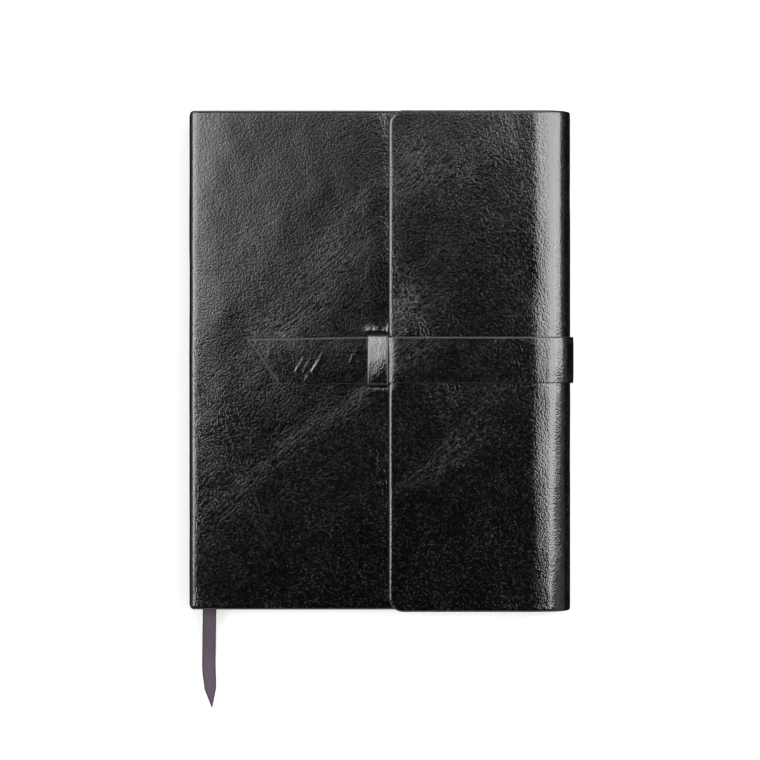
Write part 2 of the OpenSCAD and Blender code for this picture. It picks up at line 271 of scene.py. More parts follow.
def woven(name, dark, pale, thread, roughness, depth, edge_dark=0.0):
    """A plain weave of fine threads along both flat coordinates."""
    p = Paint(name, pale, roughness, **{"Sheen Weight": 0.25, "Sheen Roughness": 0.5,
                                        "Specular IOR Level": 0.25})
    flat = p.flat()
    split = p.add("SeparateXYZ", {0: flat})
    turn = 2 * math.pi / thread
    across = p.math("SINE", p.math("MULTIPLY", split.outputs[0], turn))
    along = p.math("SINE", p.math("MULTIPLY", split.outputs[1], turn))
    weave = p.math("MULTIPLY", across, along)
    height = p.span(weave, -1, 1)
    fuzz = p.noise(flat, 1800, 3, 0.6)
    p.shade("Normal", p.bump(fuzz, 0.3, 0.00004, p.bump(height, 0.7, depth)))
    tone = p.math("ADD", p.math("MULTIPLY", height, 0.55), p.math("MULTIPLY", fuzz, 0.5))
    colour = p.mix(tone, dark, pale)
    if edge_dark:
        colour = p.mix(p.math("MULTIPLY", p.edge(), edge_dark), colour, tuple(c * 0.35 for c in dark))
    p.shade("Base Color", colour)
    return p.material


def paper(name, color, tint):
    p = Paint(name, color, 0.8, **{"Specular IOR Level": 0.2})
    flat = p.flat()
    fibres = p.noise(p.warp(flat, 300, 0.002), 900, 4, 0.65)
    cloud = p.noise(flat, 60, 3, 0.5)
    tone = p.math("ADD", p.math("MULTIPLY", fibres, 0.6), p.math("MULTIPLY", cloud, 0.4))
    p.shade("Base Color", p.mix(p.span(tone, 0.3, 0.7), color, tint))
    p.shade("Normal", p.bump(fibres, 0.2, 0.00002))
    return p.material


def card_paint():
    # black card, darkened further as painted shade: this is what shows through the keeper's slits
    p = Paint("card", (0.01, 0.01, 0.01), 0.85, **{"Specular IOR Level": 0.2})
    flat = p.flat()
    specks = p.noise(flat, 1500, 4, 0.7)
    p.shade("Base Color", p.mix(p.span(specks, 0.35, 0.7), (0.006, 0.006, 0.006), (0.016, 0.016, 0.0155)))
    p.shade("Normal", p.bump(specks, 0.3, 0.00004))
    return p.material


def band_paint():
    p = Paint("band", (0.6, 0.58, 0.55), 0.7, **{"Sheen Weight": 0.3, "Specular IOR Level": 0.3})
    flat = p.flat()
    split = p.add("SeparateXYZ", {0: flat})
    pitch = 0.00112
    stripe = p.math("SINE", p.math("MULTIPLY", split.outputs[0], 2 * math.pi / pitch))
    p.shade("Base Color", p.mix(p.span(stripe, -0.15, 0.15), (0.02, 0.02, 0.02), (0.42, 0.40, 0.37)))
    threads = p.noise(p.add("Mapping", {"Vector": flat, "Scale": (1, 0.2, 1)}).outputs[0], 6000, 2)
    p.shade("Normal", p.bump(threads, 0.4, 0.00004))
    return p.material


HIDE = leather("hide_leather", cell=0.00076, grain_depth=0.000042, roughness=0.09, crease=1.0, cut=0.09)
STRAP = leather("strap_leather", cell=0.00074, grain_depth=0.00004, roughness=0.09, crease=0.8, cut=0.05)
LINING = woven("lining_cloth", (0.010, 0.010, 0.011), (0.035, 0.034, 0.035), 0.0006, 0.75, 0.00008)
RIBBON = woven("ribbon_weave", (0.05, 0.037, 0.05), (0.19, 0.145, 0.19), 0.0005, 0.55, 0.00007, 0.7)
GAUZE = woven("gauze_weave", (0.35, 0.34, 0.31), (0.75, 0.74, 0.70), 0.0012, 0.8, 0.0002)
PAPER = paper("page_paper", (0.80, 0.765, 0.67), (0.86, 0.83, 0.745))
ENDPAPER = paper("end_paper", (0.76, 0.725, 0.63), (0.83, 0.80, 0.715))
CARD = card_paint()
BAND = band_paint()


# ---- sheets: a line in X and Z, unrolled, with a thickness ----

def distances(points):
    """How far along a line each of its points is."""
    return np.concatenate([[0], np.cumsum(np.linalg.norm(np.diff(points, axis=0), axis=1))])


def unit(vectors):
    return vectors / np.linalg.norm(vectors, axis=-1, keepdims=True)


class Rail:
    """A line in X and Z, in millimetres, that a sheet's outer face follows."""

    def __init__(self, points):
        self.points = np.array(points, float)
        self.along = distances(self.points)
        way = unit(np.gradient(self.points, self.along, axis=0))
        self.normal = np.stack([way[:, 1], -way[:, 0]], axis=1)
        self.length = self.along[-1]

    def at(self, s, off):
        """X and Z at a distance s along the line and off outward from it."""
        x, z, nx, nz = [np.interp(s, self.along, part) for part in (*self.points.T, *self.normal.T)]
        size = np.hypot(nx, nz)
        return x + nx / size * off, z + nz / size * off

    def s_at(self, x, z):
        """How far along the line its nearest point to (x, z) is."""
        gap = np.hypot(self.points[:, 0] - x, self.points[:, 1] - z)
        return float(self.along[int(np.argmin(gap))])


def line(a, b, step=0.5):
    a, b = np.array(a, float), np.array(b, float)
    count = max(2, int(np.linalg.norm(b - a) / step))
    return [a + (b - a) * t for t in np.linspace(0, 1, count, endpoint=False)]


def arc(centre, r, start, end, step=1.5):
    count = max(2, int(abs(end - start) / step))
    angles = np.radians(np.linspace(start, end, count, endpoint=False))
    return [np.array([centre[0] + r * math.cos(a), centre[1] + r * math.sin(a)]) for a in angles]


def straight(a, b, step=0.5):
    """A rail from a to b."""
    return Rail(line(a, b, step) + [np.array(b, float)])


def stations(a, b, step, fine_a=True, fine_b=True):
    """Places from a to b, close together near an edge that is rounded."""
    near = np.array([0, 0.03, 0.1, 0.2, 0.33, 0.5, 0.72, 1.0, 1.4, 1.9, 2.6, 3.5, 4.6, 6.0])
    near = near[near < (b - a) * 0.45]
    low = a + near if fine_a else np.array([a])
    high = (b - near)[::-1] if fine_b else np.array([b])
    count = max(2, int(round((high[0] - low[-1]) / step)) + 1)
    return np.concatenate([low[:-1], np.linspace(low[-1], high[0], count), high[1:]])


def joined(*parts):
    """Places in a row; each part starts where the one before it ends."""
    return np.concatenate([part[:-1] for part in parts[:-1]] + [parts[-1]])


def with_places(places, extra, apart=0.12):
    """The places, with others put in exactly and their near neighbours left out."""
    kept = [p for p in places if all(abs(p - e) > apart for e in extra)]
    return np.array(sorted(kept + list(extra)))


def ripple(s, y, length, seed, waves=16):
    """Smooth seeded unevenness, about 1 high at most."""
    rng = np.random.default_rng(seed)
    total = np.zeros_like(s)
    for _ in range(waves):
        angle, phase = rng.uniform(0, 2 * math.pi, 2)
        k = 2 * math.pi / length * rng.uniform(0.6, 1.6)
        total += np.sin(k * (math.cos(angle) * s + math.sin(angle) * y) + phase)
    return total / math.sqrt(waves)


def ease(t):
    t = np.clip(t, 0, 1)
    return t * t * (3 - 2 * t)


def rim(d, width, depth):
    """How far a face falls towards a rounded edge, at a distance d from it."""
    t = np.clip(1 - d / width, 0, 1)
    return -depth * (1 - np.sqrt(1 - t * t))


def round_corner(da, db, r):
    """New distances from two edges, with the corner between them rounded off."""
    a, b = np.clip(1 - da / r, 0, 1), np.clip(1 - db / r, 0, 1)
    size = np.maximum(np.hypot(a, b), 1e-9)
    k = np.maximum(a, b) / size
    return (np.where(a > 0, r * (1 - a * k), da), np.where(b > 0, r * (1 - b * k), db))


def round_corners(from_edge, y, low, high, r):
    """Distances from an edge that runs from low to high in Y, and places in Y, with its corners rounded."""
    from_edge, y = from_edge.copy(), y.copy()
    low, high = low + 0 * y, high + 0 * y
    for side, end in ((1, low), (-1, high)):
        dy = side * (y - end)
        spot = (from_edge < r) & (dy < r)
        from_edge[spot], new_y = round_corner(from_edge[spot], dy[spot], r)
        y[spot] = end[spot] + side * new_y
    return from_edge, y


def wear_of(d):
    """How worn a sheet is, at a distance d from its cut edge."""
    return np.clip(1 - d / 0.9, 0, 1)


def quads_kept(rows, places, *holes):
    """Which of a grid's quads stay, when holes of (lowest s, highest s, lowest y, highest y) are cut."""
    mid_s, mid_y = (rows[1:] + rows[:-1]) / 2, (places[1:] + places[:-1]) / 2
    keep = np.ones((len(mid_s), len(mid_y)), bool)
    for s_low, s_high, y_low, y_high in holes:
        in_s = (mid_s > s_low) & (mid_s < s_high)
        in_y = (mid_y > y_low) & (mid_y < y_high)
        keep &= ~(in_s[:, None] & in_y[None, :])
    return keep


def mesh_object(name, vertices, faces, flat, edge, material):
    """A mesh from millimetres, with its unrolled coordinates and its edge wear."""
    mesh = bpy.data.meshes.new(name)
    mesh.from_pydata((np.asarray(vertices) * MM).tolist(), [], faces)
    layer = mesh.uv_layers.new(name="flat")
    corners = np.zeros(len(mesh.loops), np.int32)
    mesh.loops.foreach_get("vertex_index", corners)
    layer.data.foreach_set("uv", (np.asarray(flat)[corners] * MM).astype(np.float32).ravel())
    mesh.attributes.new("edge", "FLOAT", "POINT").data.foreach_set("value", np.asarray(edge, np.float32))
    mesh.materials.append(material)
    mesh.shade_smooth()
    mesh.set_sharp_from_angle(angle=math.radians(48))
    mesh.validate()
    return in_scene(name, mesh)


def closed_sheet(outer, inner, keep=None):
    """The faces of a sheet whose two sides are grids of points, closed round its edge and its holes."""
    rows, cols = outer.shape[:2]
    if keep is None:
        keep = np.ones((rows - 1, cols - 1), bool)
    index = np.arange(rows * cols).reshape(rows, cols)
    a, b = index[:-1, :-1][keep], index[:-1, 1:][keep]
    c, d = index[1:, 1:][keep], index[1:, :-1][keep]
    top = np.stack([a, b, c, d], axis=1)
    back = rows * cols
    under = top[:, ::-1] + back
    way = np.concatenate([top[:, [0, 1]], top[:, [1, 2]], top[:, [2, 3]], top[:, [3, 0]]])
    there = way[:, 0].astype(np.int64) * back + way[:, 1]
    returned = way[:, 1].astype(np.int64) * back + way[:, 0]
    rim_edges = way[~np.isin(there, returned)]
    first, second = rim_edges.T
    wall = np.stack([second, first, first + back, second + back], axis=1)
    faces = np.concatenate([top, under, wall])
    points = np.concatenate([outer.reshape(-1, 3), inner.reshape(-1, 3)])
    used = np.unique(faces)
    new_index = np.zeros(len(points), np.int64)
    new_index[used] = np.arange(len(used))
    return points[used], new_index[faces].tolist(), used


def sheet_object(name, outer, inner, s, y, wear, material, keep=None, apart=0.0):
    """A sheet between two grids of points; its underside's flat coordinates are set apart by so much."""
    points, quads, used = closed_sheet(outer, inner, keep)
    flat = np.stack([s, y], axis=-1).reshape(-1, 2)
    flat = np.concatenate([flat, flat + [[apart, 0]]])[used]
    wear = np.concatenate([wear.ravel(), wear.ravel()])[used]
    return mesh_object(name, points, quads, flat, wear, material)


def on_rail(rail, s, y, off, lower=0):
    x, z = rail.at(s, off)
    return np.stack([x, y, z - lower], axis=-1)


def rolled(name, rail, s, y, outer, inner, material, keep=None, wear=None, sinks=(0, 0)):
    """A sheet on a rail: s, y and the two faces' heights are grids, in millimetres; sinks lower them."""
    upper, under = [on_rail(rail, s, y, off, lower) for off, lower in zip((outer, inner), sinks)]
    wear = 0 * s if wear is None else wear
    return sheet_object(name, upper, under, s, y, wear, material, keep, apart=500.0)


def placed(piece, slot_name, body, *nodes):
    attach(piece, body)
    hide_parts(*nodes)


def folding(piece, slot_name, fold, *nodes):
    """Fixes a sheet's placing into its mesh and hides the parts it stands for."""
    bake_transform(piece)
    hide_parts(*nodes)


# ---- the ribbon's free end ----

# the route's points, as in the part's source, in metres
RIBBON_ROUTE = np.array([
    [-0.0756, -0.10455, 0.00887], [-0.07565, -0.1075, 0.00885], [-0.0757, -0.1105, 0.0084],
    [-0.07585, -0.1135, 0.0074], [-0.076, -0.1165, 0.006], [-0.07615, -0.1195, 0.0044],
    [-0.0763, -0.1225, 0.00295], [-0.0764, -0.1255, 0.00175], [-0.0765, -0.1285, 0.00095],
    [-0.0766, -0.1315, 0.0005], [-0.0766, -0.135, 0.00035], [-0.0765, -0.139, 0.0003],
    [-0.0763, -0.143, 0.0003], [-0.076, -0.147, 0.0003], [-0.0757, -0.1505, 0.0003],
    [-0.0755, -0.1536, 0.0003]
])


def smooth_route(points, step=0.26):
    """A curve through the points, at even steps, in millimetres."""
    points = np.asarray(points) / MM
    padded = np.vstack([2 * points[0] - points[1], points, 2 * points[-1] - points[-2]])
    fine = []
    for i in range(1, len(padded) - 2):
        p0, p1, p2, p3 = padded[i - 1:i + 3]
        for t in np.linspace(0, 1, 24, endpoint=False):
            fine.append(0.5 * (2 * p1 + (p2 - p0) * t + (2 * p0 - 5 * p1 + 4 * p2 - p3) * t * t
                               + (3 * p1 - p0 - 3 * p2 + p3) * t ** 3))
    fine = np.array(fine + [points[-1]])
    along = distances(fine)
    even = np.linspace(0, along[-1], int(along[-1] / step) + 1)
    return np.stack([np.interp(even, along, fine[:, k]) for k in range(3)], axis=1), even


def make_ribbon_tail():
    centre, along = smooth_route(RIBBON_ROUTE)
    total = along[-1]
    way = unit(np.gradient(centre, axis=0))
    across = unit(np.cross([0, 0, 1], way))
    up = np.cross(way, across)
    # both sides draw in a little and then to the tip; the right one is pinked as far as the point
    half, blunt = 3.0, 0.06
    cut, tip = total - 8.6, 0.2
    point = ((along - cut) / (total - cut)).clip(0, 1)
    left = half - 0.6 * ease((along - cut + 9) / 9)
    left = left + (blunt - tip - left) * point
    right = half - 0.25 * ease((along - cut + 4) / 4)
    right = right + (blunt + tip - right) * point
    tooth = 0.12 * (2 * np.abs((along / 1.3) % 1 - 0.5) - 0.5)
    right = right + tooth * np.clip((cut + 1 - along) / 2, 0, 1)
    u = np.linspace(-1, 1, 21)
    rows = -left[:, None] + (u[None, :] + 1) / 2 * (left + right)[:, None]
    d = (1 - np.abs(u))[None, :] * ((left + right) / 2)[:, None]
    thick = RIBBON_T / 2 + rim(d, 0.35, RIBBON_T / 2 * 0.75)
    curl = 0.12 * np.sin(along / total * math.pi) ** 2
    lift = curl[:, None] * (u[None, :] ** 2)

    def face(off):
        return centre[:, None, :] + across[:, None, :] * rows[..., None] + up[:, None, :] * off[..., None]

    s = np.broadcast_to(along[:, None], rows.shape)
    piece = sheet_object("marker_tail", face(lift - thick), face(lift + thick), s, rows, wear_of(d), RIBBON)
    placed(piece, "ribbon", "back_case", "ribbon_tail")


make_ribbon_tail()


# ---- the hide: one line round the whole case, cut at the folds ----

hide_line = Rail(
    line((X_COVER, FRONT_OUT), (SPINE_FRONT[0], FRONT_OUT))
    + arc(SPINE_FRONT, SPINE_R, 90, 180)
    + line((X_SPINE, SPINE_FRONT[1]), (X_SPINE, SPINE_BACK[1]))
    + arc(SPINE_BACK, SPINE_R, 180, 270)
    + line((SPINE_BACK[0], 0), (FORE_BACK[0], 0))
    + arc(FORE_BACK, BACK_R, 270, 360)
    + line((X_FORE, FORE_BACK[1]), (X_FORE, FORE_FRONT[1]))
    + arc(FORE_FRONT, FRONT_R, 0, 90)
    + line((FORE_FRONT[0], FLAP_OUT), (X_FLAP, FLAP_OUT))
    + [np.array([X_FLAP, FLAP_OUT])]
)
S_SPINE = hide_line.s_at(X_SPINE, FRONT_OUT / 2)
S_BACK = hide_line.s_at(70.0, 0)  # the back is two sheets, which meet here
S_SLIT = hide_line.s_at(X_FORE, SLIT_Z)
S_FLAT_BACK = (hide_line.s_at(SPINE_BACK[0], 0), hide_line.s_at(FORE_BACK[0], 0))


def hide_ends(s):
    """The hide's tail and head edges at a place along it, drawn in round the spine."""
    x, _ = hide_line.at(s, 0)
    over_back = np.clip((s - S_FLAT_BACK[0]) / (S_FLAT_BACK[1] - S_FLAT_BACK[0]), 0, 1)
    tail = Y_TAIL + (Y_DROP - Y_TAIL) * over_back
    lead, pull = 0.3, 1.3
    t = np.clip((SPINE_FRONT[0] - lead - x) / (SPINE_R - lead), 0, 1)
    inset = pull * (1 - np.sqrt(1 - t * t))
    return tail + inset, Y_HEAD - inset


def hide_grid(s_places, y_places, free_start=False, free_end=False):
    """Grids of s, y and distance from the cut edges for part of the hide."""
    s, y0 = np.meshgrid(s_places, y_places, indexing="ij")
    low, high = hide_ends(s)
    reach = 45.0  # over which rows near an edge take up its slant
    y = y0 + (low - y_places[0]) * (1 - ease((y0 - y_places[0]) / reach))
    y = y + (high - y_places[-1]) * (1 - ease((y_places[-1] - y0) / reach))
    d = np.minimum(y0 - y_places[0], y_places[-1] - y0)
    for free, sign, edge in ((free_start, 1, s_places[0]), (free_end, -1, s_places[-1])):
        if free:
            ds = sign * (s - edge)
            d = np.minimum(d, ds)
            ds, y = round_corners(ds, y, low, high, COVER_CORNER)
            s = edge + sign * ds
    return s, y, d


def softness(s, y):
    """The hide's own unevenness over its flat faces, in millimetres."""
    return 0.05 * ripple(s, y, 46, 3) + 0.022 * ripple(s, y, 15, 8) + 0.008 * ripple(s, y, 6, 21)


def hide_face(s, y, d):
    """The outer face: soft, with rounded edges."""
    return softness(s, y) * ease(d / 4) + rim(d, 1.6, 0.62)


def front_sink(s):
    """The sink of the front's faces, at a place along the hide."""
    x, z = hide_line.at(s, 0)
    return np.where(z > FRONT_OUT / 2, sink(x), 0)


def under_sink(s):
    """The dip as the layers under the flap's leather take it, clear of the front cover's edge."""
    x, _ = hide_line.at(s, 0)
    return np.where(x > 0, front_sink(s) * ease((x - X_COVER - 0.2) / 2.0), 0)


def hide_back_face(d):
    return -LEATHER_T - rim(d, 0.35, 0.12)


Y_PLACES = stations(Y_TAIL, Y_HEAD, 2.0)
SLIT_ENDS = [Y_MID + side * (STRAP_HALF + k) for side in (1, -1) for k in (0.0, 0.18, 0.36)]
Y_DROP_PLACES = with_places(stations(Y_DROP, Y_HEAD, 2.0), SLIT_ENDS, 0.1)


def strap_gap(s, y, edge, side, depth=0.6):
    """Opens half of the slit for the strap in a sheet that ends at s = edge."""
    inside = ease((STRAP_HALF + 0.35 - np.abs(y - Y_MID)) / 0.3)
    fade = np.clip(1 - np.abs(s - edge) / 2.0, 0, 1)
    return s + side * depth * inside * fade


def pressed(s):
    """The cover's face dips a little where the flap's edge presses on it."""
    x, _ = hide_line.at(s, 0)
    before, after = 9, 16
    return 0.25 * np.clip((x - X_FLAP + before) / before, 0, 1) ** 2 * ease((X_FLAP + after - x) / after)


def bumps_round_slits(s, y):
    """The leather puckers up round the ends of the keeper's slits."""
    x, _ = hide_line.at(s, 0)
    total = np.zeros_like(s)
    for side, lift in ((1, 1.0), (-1, 0.3)):
        lip = Y_MID + side * (KEEPER_OUT + 1.7)
        for place, height, length in ((KEEPER_LO[0] + 1.6, 0.40, 2.1), (KEEPER_HI[0] - 1.0, 0.38, 1.2)):
            total += lift * height * np.exp(-((x - place) / length) ** 2 - ((y - lip) / 1.4) ** 2)
        dip = Y_MID + side * (KEEPER_OUT + 0.3)
        middle = (KEEPER_LO[0] + KEEPER_HI[0]) / 2
        total -= 0.35 * np.exp(-((x - middle) / 4.2) ** 4 - ((y - dip) / 0.7) ** 2)
    return total * ease((X_FLAP - x) / 0.8)


def make_front_hide():
    spine_rows = np.linspace(hide_line.s_at(SPINE_FRONT[0], FRONT_OUT), S_SPINE, 16)
    near, far = [hide_line.s_at(x, FRONT_OUT) for x in (KEEPER_HI[0] + 0.1, KEEPER_LO[0] - 0.1)]
    extra = [near + k for k in (-0.6, 0, 1.0, 2.0, 3.2)]
    extra += [far + k for k in (-3.2, -2.0, -1.0, 0, 0.6, 1.5)]
    rows = joined(with_places(stations(0, spine_rows[0], 2.0, True, False), extra), spine_rows)
    slits = [(Y_MID - KEEPER_OUT - 0.4, Y_MID - KEEPER_IN + 0.05),
             (Y_MID + KEEPER_IN - 0.05, Y_MID + KEEPER_OUT + 0.9)]
    extra = []
    for low, high in slits:
        extra += [low - 2.2, low - 1.3, low - 0.6, low, high, high + 0.6, high + 1.3, high + 2.2]
    places = with_places(Y_PLACES, extra, 0.5)
    s, y, d = hide_grid(rows, places, free_start=True)
    outer = hide_face(s, y, d) + bumps_round_slits(s, y) - pressed(s)
    inner = hide_back_face(d) + np.clip(bumps_round_slits(s, y), 0, 1) * 0.8
    keep = quads_kept(rows, places, *[(near, far, low, high) for low, high in slits])
    spine_side = s > 100
    sunk = np.where(spine_side, front_sink(s), 0)
    piece = rolled("front_hide", hide_line, s, y, outer, inner, HIDE, keep, wear_of(d), (sunk, 0))
    folding(piece, "leather", "spine_front", "front_cover_leather", "spine_leather")


def make_back_hide():
    flat_start = S_FLAT_BACK[0]
    rows = joined(np.linspace(S_SPINE, flat_start, 16), stations(flat_start, S_BACK, 3.0, False, False))
    s, y, d = hide_grid(rows, Y_PLACES)
    outer, inner = hide_face(s, y, d), hide_back_face(d)
    piece = rolled("back_hide", hide_line, s, y, outer, inner, HIDE, wear=wear_of(d))
    folding(piece, "leather", "spine_back", "back_cover_leather", "spine_leather")


def make_fore_hide():
    rows = joined(np.linspace(S_BACK, S_FLAT_BACK[1], 5), np.linspace(S_FLAT_BACK[1], S_SLIT, 18))
    s, y, d = hide_grid(rows, Y_DROP_PLACES)
    s = strap_gap(s, y, S_SLIT, -1)
    outer, inner = hide_face(s, y, d), hide_back_face(d)
    piece = rolled("fore_hide", hide_line, s, y, outer, inner, HIDE, wear=wear_of(d))
    folding(piece, "leather", "fore_back", "back_cover_leather", "fore_edge_leather")


def flap_rows():
    bend_end = hide_line.s_at(FORE_FRONT[0], FLAP_OUT)
    return joined(np.linspace(S_SLIT, bend_end, 26), stations(bend_end, hide_line.length, 1.8, False, True))


def make_flap_hide():
    s, y, d = hide_grid(flap_rows(), Y_DROP_PLACES, free_end=True)
    s = strap_gap(s, y, S_SLIT, 1)
    outer = hide_face(s, y, d)
    under_strap = ease((STRAP_HALF + 2.5 - np.abs(y - Y_MID)) / 3.0)
    outer = outer - np.clip(outer, 0, 1) * under_strap
    x, _ = hide_line.at(s, 0)
    pressed_edge = 0.28 * ease((X_FLAP + 3.4 - x) / 3.2)
    outer = outer - pressed_edge * under_strap
    piece = rolled("flap_hide", hide_line, s, y, outer, hide_back_face(d), HIDE, wear=wear_of(d),
                   sinks=(front_sink(s), under_sink(s)))
    folding(piece, "leather", "fore_front", "flap_leather", "fore_edge_leather")


make_front_hide()
make_back_hide()
make_fore_hide()
make_flap_hide()


# ---- linings of the fore edge and the flap ----

def make_lining(name, rows, fold, nodes, free):
    inset = 0.4
    strap_edges = [Y_MID - STRAP_HALF - 0.1, Y_MID + STRAP_HALF + 0.1]
    places = with_places(stations(Y_DROP + inset, Y_HEAD - inset, 3.5), strap_edges, 0.3)
    s, y = np.meshgrid(rows, places, indexing="ij")
    low, high = places[0], places[-1]
    d = np.minimum(y - low, high - y)
    if free:
        end = hide_line.length - inset
        ds = end - np.minimum(s, end - (hide_line.length - s) * 0.9)
        d = np.minimum(d, ds)
        ds, y = round_corners(ds, y, low, high, COVER_CORNER)
        s = end - ds
    keep = quads_kept(rows, places, (0, S_SLIT + 1.0, *strap_edges))
    outer = -LEATHER_T - 0.01 + 0 * s
    inner = -LEATHER_T - LINING_T - rim(d, 0.35, 0.2)
    dip = under_sink(s)
    piece = rolled(name, hide_line, s, y, outer, inner, LINING, keep, sinks=(dip, dip))
    folding(piece, "lining", fold, *nodes)


def make_linings():
    start = hide_line.s_at(box_mm("back_board")[1][0] + 0.1, 0)
    rows = joined(np.linspace(start, S_FLAT_BACK[1], 6), np.linspace(S_FLAT_BACK[1], S_SLIT, 16))
    make_lining("fore_lining", rows, "fore_back", ("back_edge_lining", "fore_edge_lining"), False)
    make_lining("flap_lining_cloth", flap_rows(), "fore_front", ("flap_lining", "fore_edge_lining"), True)


make_linings()


# ---- the strap ----

LOW_RIM = 2.4  # the lower edge's rounding is this many times narrower than the upper one's


def strap_grid(rows, step):
    """Grids of s and y across the strap's width, and of the distances from its two long edges."""
    s, y = np.meshgrid(rows, stations(Y_MID - STRAP_HALF, Y_MID + STRAP_HALF, step), indexing="ij")
    return s, y, STRAP_HALF + (y - Y_MID), STRAP_HALF - (y - Y_MID)


def make_strap_root():
    """The skived end, glued inside the back and carried round to the slit."""
    low, _ = box_mm("strap_anchor")
    rail = Rail(line((low[0], LEATHER_T), (FORE_BACK[0], LEATHER_T))
                + arc(FORE_BACK, BACK_R - LEATHER_T, 270, 360)
                + line((X_FORE - LEATHER_T, FORE_BACK[1]), (X_FORE - LEATHER_T, SLIT_Z - 0.8)))
    flat_end = 30.9
    rows = joined(stations(0, flat_end, 2.5, True, False), np.linspace(flat_end, rail.length, 18))
    s, y, d_low, d_top = strap_grid(rows, 1.6)
    d = np.minimum(np.minimum(d_low, d_top), s)
    skived = 0.6
    inner = -skived - rim(d, 0.5, 0.3)
    piece = rolled("strap_root", rail, s, y, -0.01 + 0 * s, inner, STRAP, wear=wear_of(d))
    folding(piece, "strap_leather", "fore_back", "strap_anchor")


def strap_face(s, y, d, rim_d):
    """The strap's upper face: slightly crowned, with rounded edges."""
    uneven = 0.02 * ripple(s, y, 22, 14) + 0.008 * ripple(s, y, 7, 15)
    return uneven * ease(d / 3) - 0.10 * (1 - ease(d / 6)) + rim(rim_d, 0.85, 0.5)


def make_strap_side():
    """From the slit in the fore edge, up and round the front fold."""
    half_t, air, root_half = STRAP_T / 2, 0.05, 0.3
    mid_x, bend_r = X_FORE + air + half_t, FRONT_R + air + half_t
    inner_x = X_FORE - LEATHER_T - root_half
    bend = arc(FORE_FRONT, bend_r, 0, 90) + [np.array([FORE_FRONT[0], FORE_FRONT[1] + bend_r])]
    raw = np.array(line((inner_x, SLIT_Z - 0.75), (inner_x, SLIT_Z - 0.35), 0.1)
                   + line((inner_x, SLIT_Z - 0.35), (mid_x, SLIT_Z + 1.05), 0.1)
                   + line((mid_x, SLIT_Z + 1.05), (mid_x, FORE_FRONT[1]), 0.1) + bend)
    soft = raw.copy()
    for _ in range(30):
        soft[1:-1] = (soft[:-2] + 2 * soft[1:-1] + soft[2:]) / 4
    before_bend = np.arange(len(raw)) < len(raw) - len(bend) - 1
    rail = Rail(np.where(before_bend[:, None], soft, raw))
    rows = joined(np.linspace(0, 4.2, 15), np.linspace(4.2, rail.length, 30))
    s, y, d_low, d_top = strap_grid(rows, 1.2)
    d = np.minimum(d_low, d_top)
    half = root_half + (half_t - root_half) * ease((s - 1.0) / 1.6)
    outer = half + strap_face(s, y, d, np.minimum(LOW_RIM * d_low, d_top)) * half / half_t
    inner = -half - rim(d, 0.6, 0.3)
    x, z = rail.at(s, 0)
    dip = np.where(z > FRONT_OUT / 2, sink(np.minimum(x, X_FORE)), 0)
    # the paler cut edge is only on the upper edge; the lower edge stays black as painted shade where the
    # strap lies against the leather
    piece = rolled("strap_bend", rail, s, y, outer, inner, STRAP, wear=wear_of(d_top), sinks=(dip, dip))
    folding(piece, "strap_leather", "fore_front", "strap_side", "strap_fold")


# folds across the tail: from and to in X and Y, then width, depth and bow
CREASES = (
    ((-24.8, 5.6), (-34.6, -9.4), 0.30, 0.170, 0.35),
    ((-33.6, 3.6), (-39.2, -6.2), 0.26, 0.095, 0.3),
    ((-29.4, 3.8), (-37.0, -8.8), 0.26, 0.080, -0.3),
    ((-49.3, 6.7), (-49.8, 1.0), 0.26, 0.060, 0.2),
    ((-7.8, 6.6), (-14.6, -2.0), 0.30, 0.060, -1.6),
)


def creased(x, y):
    """Shallow folds across the strap's tail: a steep side, and a slow fall back on the other."""
    total = np.zeros_like(x)
    for (ax, ay), (bx, by), width, depth, bow in CREASES:
        dx, dy = bx - ax, by - ay
        size = math.hypot(dx, dy)
        t = ((x - ax) * dx + (y - ay) * dy) / size ** 2
        gap = ((y - ay) * dx - (x - ax) * dy) / size - bow * np.sin(np.clip(t, 0, 1) * math.pi)
        fade = ease(t / 0.6) * ease((1 - t) / 0.15)
        fall = np.exp(-(np.maximum(gap, 0) / (6 * width)) ** 2)
        total += fade * depth * ease((gap + width) / (2 * width)) * fall
    return total


def strap_rail(slope_right, slope_left, tip, tail_z):
    """Level over the flap, down past its edge and level again on the cover."""
    sag = ((2.7, 0.0), (1.6, 0.08), (0.6, 0.26), (-0.4, 0.50))
    places = [FORE_FRONT[0]] + [slope_right + x for x, _ in sag] + [slope_left, tip]
    heights = [STRAP_OUT] + [STRAP_OUT - drop for _, drop in sag] + [tail_z, tail_z]
    xs = np.arange(FORE_FRONT[0], tip - 0.05, -0.25)
    zs = np.interp(-xs, [-x for x in places], heights)
    padded = np.concatenate([np.full(4, zs[0]), zs, np.full(4, zs[-1])])
    return Rail(np.stack([xs, np.convolve(padded, np.ones(9) / 9, "valid")], axis=1))


